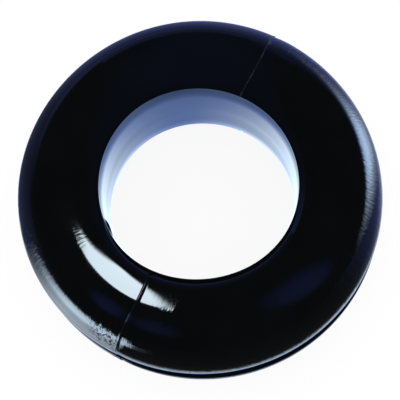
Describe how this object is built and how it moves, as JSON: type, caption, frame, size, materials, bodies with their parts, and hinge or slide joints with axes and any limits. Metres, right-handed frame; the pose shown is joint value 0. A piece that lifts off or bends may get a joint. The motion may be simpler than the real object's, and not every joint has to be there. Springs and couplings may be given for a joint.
{
  "type": "rubber grommet",
  "caption": "Black rubber panel grommet: a ring with a plain bore, two crowned flanges and a narrow groove round its waist for the edge of a panel hole.",
  "frame": {"origin": "on the bore axis, halfway across the groove and halfway through the thickness", "axes": "+Z along the bore out of one flange; the mould's parting plane is y = 0, so the parting line crosses both flanges along X"},
  "size_m": [0.0264, 0.0262, 0.0094],
  "materials": {
    "rubber": "glossy black moulded rubber with a faint parting line"
  },
  "bodies": {
    "root": {"grommet": "rubber"}
  },
  "joints": []
}
